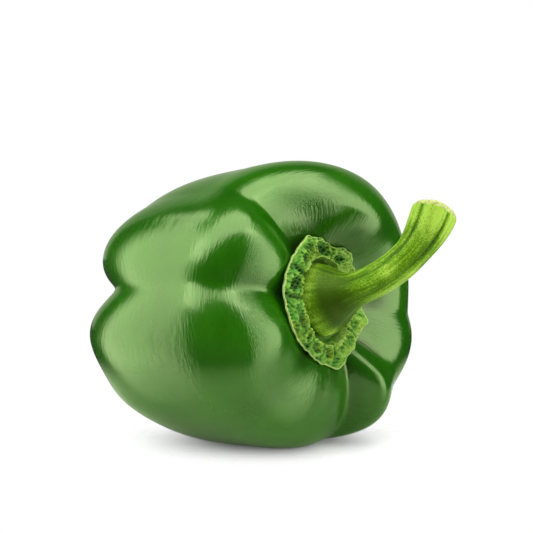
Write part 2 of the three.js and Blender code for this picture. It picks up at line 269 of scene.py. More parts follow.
@dataclass(frozen=True)
class PepperForm:
    """The fruit's form round its own axis, and its place on the surface that it lies on.

    Reaches, radii, depths and places are in millimetres and the pitch is in degrees. Fullness and
    flatness are the powers of the superellipse, 2 for a circle and more for a squarer shape.
    """

    girth_radius: float = 43.0
    shoulder_reach: float = 31.5
    blossom_reach: float = 47.0
    shoulder_taper: float = 0.055
    shoulder_fullness: float = 2.6
    blossom_fullness: float = 2.2
    end_flatness: float = 3.2
    widest_share: float = 0.5
    crease_sharpness: float = 0.62
    hollow: Zone = Zone(20.5, 3.0)
    hollow_depth: float = 10.8
    hollow_across: float = 0.02
    hollow_upward: float = 0.17
    shoulder_start: Zone = Zone(23.0, 4.0)
    pleat_radius: float = 21.5
    pleat_reach: float = 7.0
    dimple: Zone = Zone(11.0, 2.0)
    dimple_depth: float = 7.0
    pitch: float = 9.5
    belly_height: float = 42.35
    middle_along: float = -7.184
    middle_across: float = 1.019
    drawn_in: float = 0.9985
    drawn_towards: float = -12.0
    search_end: float = 0.45
    search_steps: int = 40

    def placed(self, along: np.ndarray, across: np.ndarray, up: np.ndarray) -> np.ndarray:
        """Tips the fruit's own frame up by its pitch and moves it to its place.

        All points are then drawn in by a small share towards a point under the fruit's middle, so
        that the fine meshes stay within the box of the coarser solids.

        Args:
            along: distance along the fruit's axis, towards the stem.
            across: distance towards the back.
            up: distance upwards, square to the axis.

        Returns:
            Points in millimetres in the pepper's frame, with x, y and z on the last axis.
        """
        pitch = math.radians(self.pitch)
        x = self.middle_along + along * math.cos(pitch) - up * math.sin(pitch)
        z = self.belly_height + along * math.sin(pitch) + up * math.cos(pitch)
        x = blend(self.drawn_towards, x, self.drawn_in)
        y = self.drawn_in * (self.middle_across + across)
        return np.stack(np.broadcast_arrays(x, y, self.drawn_in * z), axis=-1)

    def arch(self, share: np.ndarray, rounding: np.ndarray) -> np.ndarray:
        """Height of a lobe between its grooves: a power of the squared sine plus the rounding.

        Args:
            share: how far from one groove to the next.
            rounding: 0 where the creases are sharp, 1 where they are broad.

        Returns:
            0 in the crease and 1 on top.
        """
        half = self.crease_sharpness / 2.0
        across = np.sin(math.pi * share) ** 2
        floor = rounding**half
        return ((across + rounding) ** half - floor) / ((1 + rounding) ** half - floor)

    def lobing(self, angle: np.ndarray) -> tuple[np.ndarray, np.ndarray, np.ndarray]:
        """The groove and lobe sizes at each angle, blended smoothly from one to the next.

        Args:
            angle: angles round the axis in radians, from the back over the top.

        Returns:
            How far down the valley between two lobes each angle lies, the groove sizes and the
            lobe sizes, with the sizes on the last axis.
        """
        degrees = wrapped(np.degrees(angle))
        starts = np.array([groove.angle for groove in GROOVES], float)
        widths = wrapped(np.roll(starts, -1) - starts)
        centres = wrapped(starts + widths / 2.0)
        groove_sizes = np.array([astuple(groove)[1:] for groove in GROOVES], float)
        lobe_sizes = np.array([astuple(lobe) for lobe in LOBES], float)
        share, grooves = self.between(degrees, starts, groove_sizes)
        lobes = self.between(degrees, centres, lobe_sizes)[1]
        rounding = grooves[..., -1]
        return 1.0 - self.arch(share, rounding), grooves, lobes

    def pleating(self, angle: np.ndarray) -> np.ndarray:
        """Depth of the pleats: a bell curve round each one's angle.

        Args:
            angle: angles round the axis in radians.

        Returns:
            Depths in millimetres, below zero for a swelling.
        """
        depth = np.zeros(np.shape(angle))
        for pleat in PLEATS:
            depth += pleat.depth * bell(apart(angle, pleat.angle), pleat.width)
        return depth

    @staticmethod
    def between(
        degrees: np.ndarray, stops: np.ndarray, sizes: np.ndarray
    ) -> tuple[np.ndarray, np.ndarray]:
        """Blends sizes that are given at stops round a turn.

        Args:
            degrees: angles to blend at.
            stops: angles that the sizes are given for, in any order.
            sizes: one row of sizes for each stop.

        Returns:
            The share of the way from the last stop to the next, and the blended sizes.
        """
        order = np.argsort(stops)
        stops, sizes = stops[order], sizes[order]
        last = (np.searchsorted(stops, degrees, side="right") - 1) % len(stops)
        following = (last + 1) % len(stops)
        share = wrapped(degrees - stops[last]) / wrapped(stops[following] - stops[last])
        return share, blend(sizes[last], sizes[following], smooth(share)[..., None])

    def skin(
        self, share: np.ndarray, angle: np.ndarray, follow: float = 1.0
    ) -> tuple[np.ndarray, np.ndarray]:
        """The skin in the fruit's own frame.

        Its profile is a superellipse: powers of the sine and the cosine of the share of half a
        turn. Lobes swell it and grooves cut it, by sizes that change along it as parabolas do. The
        stem hollow and the dimple are sunk in its ends.

        Args:
            share: 0 at the middle of the stem end, 1 at the middle of the blossom end.
            angle: angle round the axis in radians.
            follow: how much of the grooves to keep.

        Returns:
            The distance along the axis and the distance from it.
        """
        valley, groove, lobe = self.lobing(angle)
        shoulder, halfway, blossom, stem_notch, blossom_notch, _ = np.moveaxis(groove, -1, 0)
        shoulder_swell, blossom_swell, stem_rise, blossom_rise = np.moveaxis(lobe, -1, 0)
        dip = valley * follow
        polar = math.pi * share
        on_shoulder = share < self.widest_share
        fullness = np.where(on_shoulder, self.shoulder_fullness, self.blossom_fullness)
        ring = np.abs(np.sin(polar)) ** (2.0 / fullness)
        height = np.sign(np.cos(polar)) * np.abs(np.cos(polar)) ** (2.0 / self.end_flatness)
        up = (height + 1.0) / 2.0
        cut_in = blossom * (1 - up) * (1 - 2 * up)
        cut_in += halfway * 4 * up * (1 - up)
        cut_in += shoulder * up * (2 * up - 1)
        wall = self.girth_radius + shoulder_swell * up + blossom_swell * (1 - up)
        taper = 1 + self.shoulder_taper * height
        radius = ring * taper * wall * (1 - cut_in * dip / self.girth_radius)
        lean = radius * (self.hollow_across * np.cos(angle) + self.hollow_upward * np.sin(angle))
        rise = (stem_rise - stem_notch * dip) * (1 - self.shoulder_start.nearness(radius))
        belt = bell(radius - self.pleat_radius, self.pleat_reach)
        top = (self.shoulder_reach + rise) * height - self.pleating(angle) * belt
        top -= (self.hollow_depth + lean) * self.hollow.nearness(radius)
        near_dimple = self.dimple.nearness(radius)
        fall = (blossom_rise - blossom_notch * dip) * (1 - near_dimple)
        bottom = (self.blossom_reach + fall) * height + self.dimple_depth * near_dimple
        return np.where(on_shoulder, top, bottom), radius

    def shoulder_height(
        self, radius: np.ndarray, angle: np.ndarray, follow: float = 1.0
    ) -> np.ndarray:
        """Height of the shoulder along the axis at a distance from it, found by halving.

        Args:
            radius: distance from the axis.
            angle: angle round the axis in radians.
            follow: how much of the grooves to keep.

        Returns:
            The distance along the axis.
        """
        low = np.zeros(np.broadcast(radius, angle).shape)
        high = np.full(low.shape, self.search_end)
        for _ in range(self.search_steps):
            share = (low + high) / 2.0
            inside = self.skin(share, angle, follow)[1] < radius
            low = np.where(inside, share, low)
            high = np.where(inside, high, share)
        return self.skin(low, angle, follow)[0]


FORM = PepperForm()


@dataclass
class RingMesh:
    """A closed skin of rings between two end points, with the values that its patterns follow."""

    name: str
    rings: np.ndarray
    first: np.ndarray
    last: np.ndarray

    def build(self, patterns: dict[str, np.ndarray]) -> bpy.types.Object:
        """Makes the mesh object, smooth shaded, with its attributes.

        Args:
            patterns: values by attribute name, one for each ring point and then one for each of
                the first and the last point, as numbers or as vectors.

        Returns:
            The new object at the origin.
        """
        rows, columns = self.rings.shape[:2]
        points = np.concatenate([self.rings.reshape(-1, 3), self.first[None], self.last[None]]) * MM
        index = np.arange(rows * columns).reshape(rows, columns)
        beside = np.roll(index, -1, axis=1)
        first_fan = np.stack([np.full(columns, rows * columns), index[0], beside[0]], axis=-1)
        last_fan = np.stack([np.full(columns, rows * columns + 1), beside[-1], index[-1]], axis=-1)
        faces = ring_quads(index).tolist() + first_fan.tolist() + last_fan.tolist()
        mesh = bpy.data.meshes.new(self.name)
        mesh.from_pydata(points.tolist(), [], faces)
        for key, values in patterns.items():
            kind = "FLOAT_VECTOR" if values.ndim == 2 else "FLOAT"
            field_name = "vector" if values.ndim == 2 else "value"
            attribute = mesh.attributes.new(key, kind, "POINT")
            attribute.data.foreach_set(field_name, values.astype(np.float32).ravel())
        mesh.polygons.foreach_set("use_smooth", np.ones(len(mesh.polygons), bool))
        mesh.update()
        piece = bpy.data.objects.new(self.name, mesh)
        bpy.context.scene.collection.objects.link(piece)
        return piece


class NodeTree:
    """The nodes of one material, lamp or world, added by one small method."""

    def __init__(self, owner: bpy.types.ID) -> None:
        """Starts an empty tree.

        Args:
            owner: the material, lamp or world that the tree belongs to.
        """
        owner.use_nodes = True
        self.tree = owner.node_tree
        self.tree.nodes.clear()

    def add(
        self,
        kind: str,
        output: str | int = 0,
        settings: dict[str, object] | None = None,
        stops: Stops = (),
        **inputs: object,
    ) -> bpy.types.NodeSocket | None:
        """Adds a node with its settings, values and links.

        Args:
            kind: the node's type, without its common first word.
            output: name or number of the output to give back.
            settings: properties of the node itself.
            stops: places from 0 to 1 with their sRGB colours, for a colour ramp.
            inputs: values or other nodes' outputs for its inputs, named with underscores for
                spaces, or by number after the letter n.

        Returns:
            The asked output, or nothing for a node without outputs.
        """
        node = self.tree.nodes.new("ShaderNode" + kind)
        for key, value in (settings or {}).items():
            setattr(node, key, value)
        for number, (place, code) in enumerate(stops):
            elements = node.color_ramp.elements
            element = elements[number] if number < 2 else elements.new(place)
            element.position = place
            element.color = linear(code)
        for key, value in inputs.items():
            numbered = key[0] == "n" and key[1:].isdigit()
            socket = node.inputs[int(key[1:])] if numbered else node.inputs[key.replace("_", " ")]
            if isinstance(value, bpy.types.NodeSocket):
                self.tree.links.new(value, socket)
            else:
                socket.default_value = value
        return node.outputs[output] if len(node.outputs) else None


def new_material(name: str) -> tuple[bpy.types.Material, NodeTree]:
    """Makes an empty node material.

    Args:
        name: the real material and its surface.

    Returns:
        The material and its tree.
    """
    material = bpy.data.materials.new(name)
    return material, NodeTree(material)


@dataclass(frozen=True)
class WaxySkin:
    """Full-grown green pepper skin under its thin natural wax: deep green, with soft bright gloss.

    Sizes and depths are in millimetres. The streaks and the pores are drawn coarser than the real
    ones, which are too fine to show. The darkest colour is painted shade, put where little light
    comes.
    """

    deep: str = "#103900"
    fresh: str = "#1A4602"
    scar: str = "#6E6238"
    # Painted shade: the dark colour put at the bottom of the grooves beside the calyx.
    painted_crevice_shade: str = "#061002"
    gloss_tint: str = "#F3FFE1"
    wax_tint: str = "#EAFFCA"
    roughness: float = 0.2
    refraction: float = 1.58
    wax_weight: float = 1.0
    wax_refraction: float = 1.1
    wax_roughness: float = 0.14
    mottle_size: float = 16.0
    mottle_range: tuple[float, float] = (0.35, 0.68)
    streak_width: float = 0.8
    streak_bump: float = 0.22
    streak_depth: float = 0.4
    pore_size: float = 0.45
    pore_bump: float = 0.05
    pore_depth: float = 0.1

    def material(self) -> bpy.types.Material:
        """Builds the material: soft mottling, faint streaks, fine pores and painted shade in narrow
        crevices.

        Returns:
            The material for the fruit.
        """
        material, tree = new_material("pepper_skin_waxed")
        place = tree.add("TexCoord", "Object")
        streak_place = tree.add("Attribute", "Vector", {"attribute_name": "streak"})
        scar = tree.add("Attribute", "Fac", {"attribute_name": "scar"})
        # Painted shade: how much of the dark colour goes in, read from the mesh.
        painted_crevice_shade = tree.add("Attribute", "Fac", {"attribute_name": "painted_crevice_shade"})
        mottle_scale = 1.0 / (self.mottle_size * MM)
        mottle = tree.add("TexNoise", "Fac", Vector=place, Scale=mottle_scale, Detail=4.0)
        stops = tuple(zip(self.mottle_range, (self.deep, self.fresh)))
        skin = tree.add("ValToRGB", "Color", stops=stops, Fac=mottle)
        scarred = tree.add("Mix", 2, MIX_COLOURS, n0=scar, n6=skin, n7=linear(self.scar))
        # Mixes the painted shade into the skin's colour.
        colour = tree.add("Mix", 2, MIX_COLOURS, n0=painted_crevice_shade, n6=scarred, n7=linear(self.painted_crevice_shade))
        streak_scale = 1.0 / self.streak_width
        streaks = tree.add("TexNoise", "Fac", Vector=streak_place, Scale=streak_scale, Detail=2.0)
        pore_scale = 1.0 / (self.pore_size * MM)
        pores = tree.add("TexNoise", "Fac", Vector=place, Scale=pore_scale, Detail=2.0)
        streaked = tree.add(
            "Bump", "Normal", Strength=self.streak_bump, Distance=self.streak_depth * MM, Height=streaks
        )
        relief = tree.add(
            "Bump",
            "Normal",
            Strength=self.pore_bump,
            Distance=self.pore_depth * MM,
            Height=pores,
            Normal=streaked,
        )
        shader = tree.add(
            "BsdfPrincipled",
            Base_Color=colour,
            Roughness=self.roughness,
            IOR=self.refraction,
            Specular_Tint=linear(self.gloss_tint),
            Coat_Weight=self.wax_weight,
            Coat_Roughness=self.wax_roughness,
            Coat_IOR=self.wax_refraction,
            Coat_Tint=linear(self.wax_tint),
            Normal=relief,
        )
        tree.add("OutputMaterial", Surface=shader)
        return material


@dataclass(frozen=True)
class CalyxFlesh:
    """Fleshy calyx, wrinkled in drying: dull green folds, dark bluish pits and a pale thin edge.

    Sizes and depths are in millimetres, and the speckles are drawn coarser than the real ones,
    which are too fine to show. The tones say how far each pattern moves the colour along its
    range, and the range where the darkest stop, the pit, the flesh and the ridge lie on it. The
    tone falls into the pits and creases and rises on the ridges, partly as the flesh's own colour
    and partly as painted shade and light, and its darkest stop is painted shade.
    """

    # Painted shade: the darkest stop, reached in the deepest creases.
    painted_crevice_shade: str = "#102C06"
    pit: str = "#224818"
    flesh: str = "#3A681E"
    ridge: str = "#6C8A38"
    tan: str = "#667A1C"
    edge: str = "#8A9A58"
    gloss_tint: str = "#C8FF80"
    roughness: float = 0.42
    refraction: float = 1.33
    tone_range: tuple[float, ...] = (0.02, 0.2, 0.45, 0.8)
    tone_shift: float = 0.28
    wrinkle_size: float = 1.3
    wrinkle_tone: float = 0.6
    wrinkle_bump: float = 0.7
    wrinkle_depth: float = 0.7
    speckle_size: float = 0.4
    speckle_bump: float = 0.3
    speckle_depth: float = 0.15
    patch_size: float = 4.5
    patch_start: float = 0.5
    patch_full: float = 0.72
    patch_strength: float = 0.55

    def material(self) -> bpy.types.Material:
        """Builds the material: colour by a tone with painted shade on one side and in the pits, where
        it is partly the flesh's own colour, and in patches, wrinkles and speckles.

        Returns:
            The material for the calyx.
        """
        material, tree = new_material("calyx_flesh_wrinkled")
        place = tree.add("TexCoord", "Object")
        # Tone with painted shade: lower in the pits and creases, partly as painted shade, and lower on
        # one side of the ring.
        height = tree.add("Attribute", "Fac", {"attribute_name": "relief"})
        rim = tree.add("Attribute", "Fac", {"attribute_name": "rim"})
        wrinkle_scale = 1.0 / (self.wrinkle_size * MM)
        wrinkles = tree.add("TexNoise", "Fac", Vector=place, Scale=wrinkle_scale, Detail=6.0)
        speckle_scale = 1.0 / (self.speckle_size * MM)
        speckles = tree.add("TexNoise", "Fac", Vector=place, Scale=speckle_scale, Detail=2.0)
        patch_scale = 1.0 / (self.patch_size * MM)
        patches = tree.add("TexNoise", "Fac", Vector=place, Scale=patch_scale, Detail=2.0)
        mixed = tree.add("Math", 0, MULTIPLY_ADD, n0=wrinkles, n1=self.wrinkle_tone, n2=height)
        shifted = tree.add("Math", 0, SUBTRACT, n0=mixed, n1=self.tone_shift)
        stops = tuple(zip(self.tone_range, (self.painted_crevice_shade, self.pit, self.flesh, self.ridge)))
        flesh = tree.add("ValToRGB", "Color", stops=stops, Fac=shifted)
        patchy = tree.add(
            "MapRange",
            "Result",
            Value=patches,
            n1=self.patch_start,
            n2=self.patch_full,
            n3=0.0,
            n4=self.patch_strength,
        )
        mottled = tree.add("Mix", 2, MIX_COLOURS, n0=patchy, n6=flesh, n7=linear(self.tan))
        colour = tree.add("Mix", 2, MIX_COLOURS, n0=rim, n6=mottled, n7=linear(self.edge))
        coarse = tree.add(
            "Bump",
            "Normal",
            Strength=self.wrinkle_bump,
            Distance=self.wrinkle_depth * MM,
            Height=wrinkles,
        )
        relief = tree.add(
            "Bump",
            "Normal",
            Strength=self.speckle_bump,
            Distance=self.speckle_depth * MM,
            Height=speckles,
            Normal=coarse,
        )
        shader = tree.add(
            "BsdfPrincipled",
            Base_Color=colour,
            Roughness=self.roughness,
            IOR=self.refraction,
            Specular_Tint=linear(self.gloss_tint),
            Normal=relief,
        )
        tree.add("OutputMaterial", Surface=shader)
        return material


@dataclass(frozen=True)
class StemRind:
    """Ribbed pepper stem: yellow green rind with pale fibres along it and a fine pale stipple.

    Sizes and depths are in millimetres, and the fibres and dots are drawn coarser than the real
    ones, which are too fine to show. The tones say how far each pattern moves the colour along
    its range, and the range where the shade, the rind and the light lie on it.
    """

    shade: str = "#1E3602"
    rind: str = "#406402"
    light: str = "#7C9A34"
    # Painted shade: the dark colour for the band under the bend near the foot.
    hollow: str = "#172900"
    gloss_tint: str = "#C8FF70"
    roughness: float = 0.5
    refraction: float = 1.33
    tone_range: tuple[float, ...] = (0.05, 0.42, 0.85)
    tone_shift: float = 1.3
    fibre_width: float = 0.9
    fibre_tone: float = 1.1
    fibre_bump: float = 0.45
    fibre_depth: float = 0.4
    stipple_size: float = 0.45
    stipple_tone: float = 0.9
    stipple_bump: float = 0.4
    stipple_depth: float = 0.2
    patch_size: float = 7.0
    patch_tone: float = 0.7

    def material(self) -> bpy.types.Material:
        """Builds the material: colour by the ribs, as painted shade in their valleys and painted light
        on their crests, fibres along the stem, pale dots and painted shade under the bend.

        Returns:
            The material for the stem's wall.
        """
        material, tree = new_material("stem_rind_fibrous")
        place = tree.add("TexCoord", "Object")
        fibre_place = tree.add("Attribute", "Vector", {"attribute_name": "fibre"})
        # Tone with painted shading: darker in the rib valleys, lighter on the crests.
        rib = tree.add("Attribute", "Fac", {"attribute_name": "rib"})
        # Painted shade under the bend: how much of the dark colour goes in.
        hollow = tree.add("Attribute", "Fac", {"attribute_name": "hollow"})
        fibre_scale = 1.0 / self.fibre_width
        fibres = tree.add("TexNoise", "Fac", Vector=fibre_place, Scale=fibre_scale, Detail=4.0)
        stipple_scale = 1.0 / (self.stipple_size * MM)
        stipple = tree.add("TexNoise", "Fac", Vector=place, Scale=stipple_scale, Detail=3.0)
        patch_scale = 1.0 / (self.patch_size * MM)
        patches = tree.add("TexNoise", "Fac", Vector=place, Scale=patch_scale, Detail=2.0)
        banded = tree.add("Math", 0, MULTIPLY_ADD, n0=fibres, n1=self.fibre_tone, n2=rib)
        dotted = tree.add("Math", 0, MULTIPLY_ADD, n0=stipple, n1=self.stipple_tone, n2=banded)
        patchy = tree.add("Math", 0, MULTIPLY_ADD, n0=patches, n1=self.patch_tone, n2=dotted)
        shifted = tree.add("Math", 0, SUBTRACT, n0=patchy, n1=self.tone_shift)
        stops = tuple(zip(self.tone_range, (self.shade, self.rind, self.light)))
        rind = tree.add("ValToRGB", "Color", stops=stops, Fac=shifted)
        # Mixes in the painted shade under the bend.
        colour = tree.add("Mix", 2, MIX_COLOURS, n0=hollow, n6=rind, n7=linear(self.hollow))
        coarse = tree.add(
            "Bump", "Normal", Strength=self.fibre_bump, Distance=self.fibre_depth * MM, Height=fibres
        )
        relief = tree.add(
            "Bump",
            "Normal",
            Strength=self.stipple_bump,
            Distance=self.stipple_depth * MM,
            Height=stipple,
            Normal=coarse,
        )
        shader = tree.add(
            "BsdfPrincipled",
            Base_Color=colour,
            Roughness=self.roughness,
            IOR=self.refraction,
            Specular_Tint=linear(self.gloss_tint),
            Normal=relief,
        )
        tree.add("OutputMaterial", Surface=shader)
        return material


@dataclass(frozen=True)
class CutFlesh:
    """Dried cut of a green stem: pale and fibrous, with a browner pith. Sizes are in millimetres."""

    outer: str = "#94A056"
    pith: str = "#6C6A38"
    roughness: float = 0.8
    fibre_size: float = 0.7
    grain_range: tuple[float, float] = (0.35, 0.6)
    grain_bump: float = 0.6
    grain_depth: float = 0.3

    def material(self) -> bpy.types.Material:
        """Builds the material: blotches of pale flesh and brown pith with a rough grain.

        Returns:
            The material for the stem's cut end.
        """
        material, tree = new_material("stem_flesh_cut")
        place = tree.add("TexCoord", "Object")
        grain_scale = 1.0 / (self.fibre_size * MM)
        grain = tree.add("TexNoise", "Fac", Vector=place, Scale=grain_scale, Detail=4.0)
        stops = tuple(zip(self.grain_range, (self.pith, self.outer)))
        colour = tree.add("ValToRGB", "Color", stops=stops, Fac=grain)
        relief = tree.add(
            "Bump", "Normal", Strength=self.grain_bump, Distance=self.grain_depth * MM, Height=grain
        )
        shader = tree.add(
            "BsdfPrincipled", Base_Color=colour, Roughness=self.roughness, Normal=relief
        )
        tree.add("OutputMaterial", Surface=shader)
        return material


def dress(piece: bpy.types.Object, node: str, materials: list[bpy.types.Material]) -> None:
    """Gives a finished piece its materials and its place in the frame.

    Args:
        piece: the finished object.
        node: the solid that it stands for.
        materials: the materials in the order of the mesh's slots.
    """
    for material in materials:
        piece.data.materials.append(material)
    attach(piece, "root")
    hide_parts(node)
    LOG.info("%s: %d faces", piece.name, len(piece.data.polygons))


@dataclass
class Fruit:
    """The lobed fruit, flat where its belly rests.

    The ramps are along the skin, from 0 at the stem end to 1 at the blossom end. The painted shade
    is put in the area beside the calyx where little light reaches the bottom of a groove.
    """

    rows: int = 250
    columns: int = 360
    row_crowding: float = 0.045
    scar: Ramp = Ramp(0.985, 1.0)
    streak_across: float = 1.0
    streak_along: float = 0.2
    streak_turn: Ramp = Ramp(0.2, 0.3)
    # Painted shade beside the calyx: the zone it fills and how narrow it is across a groove.
    painted_crevice_shade: Zone = Zone(22.0, 10.0)
    painted_crevice_shade_sharpness: float = 4.0

    def build(self) -> bpy.types.Object:
        """Works out the skin on a grid of rings and makes the mesh.

        Rows crowd towards the two ends and the widest ring: the even share less a small sine.

        Returns:
            The dressed fruit.
        """
        even = (np.arange(1, self.rows) / self.rows)[:, None]
        share = even - self.row_crowding * np.sin(2.0 * FULL_TURN * even)
        angle = (np.arange(self.columns) / self.columns * FULL_TURN)[None, :]
        share, angle = np.broadcast_arrays(share, angle)
        along, radius = FORM.skin(share, angle)
        rings = FORM.placed(along, radius * np.cos(angle), radius * np.sin(angle))
        rings[..., 2] = np.maximum(rings[..., 2], 0.0)
        ends = FORM.skin(np.array([0.0, 1.0]), np.zeros(2))[0]
        poles = FORM.placed(ends, np.zeros(2), np.zeros(2))
        streak = self.streak_places(share, angle)
        pole_streak = np.array([[0.0, 0.0, 0.0], [0.0, 0.0, streak[..., 2].max()]])
        scar = self.scar.at(share)
        # Painted shade: darkest at the bottom of the grooves near the calyx, on the stem's side.
        valley = FORM.lobing(angle)[0] ** self.painted_crevice_shade_sharpness
        near_calyx = self.painted_crevice_shade.nearness(radius)
        painted_crevice_shade = np.where(share < FORM.widest_share, valley * near_calyx, 0.0)
        patterns = {
            "painted_crevice_shade": np.concatenate([painted_crevice_shade.ravel(), [0.0, 0.0]]),
            "streak": np.concatenate([streak.reshape(-1, 3), pole_streak]),
            "scar": np.concatenate([scar.ravel(), [0.0, 1.0]]),
        }
        piece = RingMesh("pepper_fruit", rings, poles[0], poles[1]).build(patterns)
        dress(piece, "fruit", [WaxySkin().material()])
        return piece

    def streak_places(self, share: np.ndarray, angle: np.ndarray) -> np.ndarray:
        """Places for the streaks, outwards on the shoulder and round the fruit on the wall.

        The places are those of the skin unrolled: a circle of the girth's radius and the length
        of the profile so far, both squeezed along the streaks.

        Args:
            share: 0 at the middle of the stem end, 1 at the middle of the blossom end.
            angle: angle round the axis in radians.

        Returns:
            Vectors of two distances round the fruit and one along it.
        """
        on_wall = self.streak_turn.at(share)
        girth = FORM.girth_radius * blend(self.streak_across, self.streak_along, on_wall)
        stretch = blend(self.streak_along, self.streak_across, on_wall)
        steps = np.diff(share, axis=0, prepend=0.0) * stretch
        length = math.pi * FORM.girth_radius * np.cumsum(steps, axis=0)
        return np.stack([girth * np.cos(angle), girth * np.sin(angle), length], axis=-1)


@dataclass(frozen=True)
class Corner:
    """A blunt corner of the calyx, or a bay where the reach is below zero.

    The angle and the width are in degrees and the reach in millimetres.
    """

    angle: float
    reach: float
    width: float


@dataclass
class Calyx:
    """The fleshy ring on the stem end, with a shallow seat for the stem.

    Lengths, heights and depths are in millimetres. Widths within a cell are shares of half its
    breadth, and places between the lip, 0, and the outer edge, 1, are shares of that way.
    """

    clearance: float = 0.45
    seat_across: float = -4.2
    seat_up: float = 1.5
    seat_start: float = 1.5
    seat_radius: float = 11.4
    seat_thickness: float = 1.0
    radius: float = 18.5
    lip_radius: float = 11.9
    lip_thickness: float = 2.5
    edge_thickness: float = 0.55
    least_thickness: float = 0.5
    thinning: float = 1.5
    plumpness: float = 1.0
    plump_lean: float = 0.8
    groove_follow: float = 0.2
    corners: tuple[Corner, ...] = (
        Corner(148, 0.6, 26),
        Corner(97, 1.1, 8),
        Corner(61, -1.8, 14),
        Corner(331, 2.0, 10),
        Corner(274, 1.8, 9),
        Corner(228, -1.9, 22),
        Corner(187, 0.3, 12),
    )
    edge_waves: tuple[Wave, ...] = (Wave(0.12, 23, 0.7), Wave(0.1, 37, 2.0))
    cell_count: int = 13
    cell_sways: tuple[Wave, ...] = (Wave(0.3, 3, 1.0), Wave(0.16, 7))
    cell_middle: float = 0.47
    middle_sway: Wave = Wave(0.08, 5)
    cell_reach: float = 0.42
    pit_depth: float = 1.3
    pit_width: float = 0.5
    pit_change: Wave = Wave(0.2, 4, 2.0)
    ring_height: float = 0.45
    ring_place: float = 0.78
    ring_width: float = 0.2
    knob_height: float = 0.6
    knob_width: float = 0.16
    crease_depth: float = 0.8
    crease_width: float = 0.14
    lip_roll: float = 0.9
    roll_place: float = 0.1
    roll_width: float = 0.1
    roll_creasing: float = 0.9
    wrinkle_height: float = 0.2
    wrinkle_length: float = 1.8
    wrinkle_waves: int = 16
    relief_start: Ramp = Ramp(0.0, 0.1)
    relief_end: Ramp = Ramp(1.0, 0.92)
    # The tone: a level, a rise with the relief's height that darkens the pits partly as painted shade,
    # and painted shade on one side of the ring by the turn.
    level_tone: float = 0.5
    height_tone_and_shade: float = 0.5
    turn_painted_shade: float = 0.15
    pale_edge: Ramp = Ramp(0.93, 1.0)
    edge_paleness: float = 0.8
    under_paleness: float = 0.5
    columns: int = 460
    seat_rings: int = 8
    lip_rings: int = 8
    flesh_rings: int = 83
    flesh_crowding: float = 0.9
    under_rings: int = 14
    under_start: float = 0.1
    seed: int = 7

    def over_seat(
        self, radius: np.ndarray, angle: np.ndarray, lift: np.ndarray, follow: float = 1.0
    ) -> np.ndarray:
        """Places points over the skin under the calyx, given round the middle of the seat.

        Args:
            radius: distance from the middle of the seat.
            angle: angle round it in radians.
            lift: height over the skin, along the fruit's axis.
            follow: how much of the skin's grooves to keep.

        Returns:
            Points in the fruit's own frame: along, across and up.
        """
        across = self.seat_across + radius * np.cos(angle)
        up = self.seat_up + radius * np.sin(angle)
        ground = FORM.shoulder_height(np.hypot(across, up), np.arctan2(up, across), follow)
        return np.stack(np.broadcast_arrays(ground + lift, across, up), axis=-1)

    def rim(self, angle: np.ndarray) -> np.ndarray:
        """Radius of the outline: a circle, plus a bell curve at each corner and small waves.

        Args:
            angle: angle round the middle of the seat in radians.

        Returns:
            Distances from the middle of the seat.
        """
        outline = np.full(angle.shape, self.radius)
        for corner in self.corners:
            outline += corner.reach * bell(apart(angle, corner.angle), corner.width)
        for wave in self.edge_waves:
            outline += wave.at(angle)
        return outline

    def relief(self, radius: np.ndarray, angle: np.ndarray, share: np.ndarray) -> np.ndarray:
        """Cells of the flesh side by side, each a plump ring round a pit with a knob.

        The ring, the pit and the knob are bell curves of the distance from the cell's middle, and
        the creases between the cells and the roll of the lip are bell curves too. Fine wrinkles
        are added, and the whole fades out at the lip and at the outer edge.

        Args:
            radius: distance from the middle of the seat.
            angle: angle round it in radians.
            share: 0 at the lip, 1 at the outer edge.

        Returns:
            Heights in millimetres, 0 at the lip and at the outer edge.
        """
        phase = self.cell_count * angle / FULL_TURN
        for sway in self.cell_sways:
            phase = phase + sway.at(angle)
        aside = 2.0 * np.mod(phase, 1.0) - 1.0
        outward = (share - self.cell_middle - self.middle_sway.at(angle)) / self.cell_reach
        away = np.hypot(aside, outward)
        pit_share = 1.0 - self.pit_change.height + self.pit_change.at(angle)
        height = self.ring_height * bell(away - self.ring_place, self.ring_width)
        height -= self.pit_depth * pit_share * bell(away, self.pit_width)
        height += self.knob_height * bell(away, self.knob_width)
        crease = bell(1.0 - np.abs(aside), self.crease_width)
        height -= self.crease_depth * crease * bell(outward, 1.0)
        creased = 1.0 - self.roll_creasing * crease
        roll = self.lip_roll * creased * bell(share - self.roll_place, self.roll_width)
        flat = np.stack([radius * np.cos(angle), radius * np.sin(angle)], axis=-1)
        waves = ripples(flat, self.wrinkle_length, self.wrinkle_waves, self.seed)
        height += self.wrinkle_height * (1.0 - 2.0 * np.abs(waves))
        return self.relief_start.at(share) * (self.relief_end.at(share) * height + roll)

    def thickness(self, radius: np.ndarray, angle: np.ndarray) -> tuple[np.ndarray, np.ndarray]:
        """Thickness over the skin: a thin seat, a raised lip and a ring that thins to its edge.

        The ring thins as a power of the way out, and swells between as a sine does.

        Args:
            radius: distance from the middle of the seat.
            angle: angle round it in radians.

        Returns:
            The thickness, and the relief's part of it.
        """
        lip_share = Ramp(self.seat_radius, self.lip_radius).at(radius)
        inner = blend(self.seat_thickness, self.lip_thickness, lip_share)
        share = np.clip((radius - self.lip_radius) / (self.rim(angle) - self.lip_radius), 0.0, 1.0)
        relief = self.relief(radius, angle, share)
        plump = self.plumpness * np.sin(math.pi * share**self.plump_lean)
        outer = blend(self.lip_thickness, self.edge_thickness, share**self.thinning) + plump + relief
        outer = np.maximum(outer, self.least_thickness)
        return np.where(radius <= self.lip_radius, inner, outer), relief

    def top(self, radius: np.ndarray, angle: np.ndarray) -> np.ndarray:
        """Points of the upper face in the fruit's own frame."""
        lift = self.clearance + self.thickness(radius, angle)[0]
        return self.over_seat(radius, angle, lift, self.groove_follow)

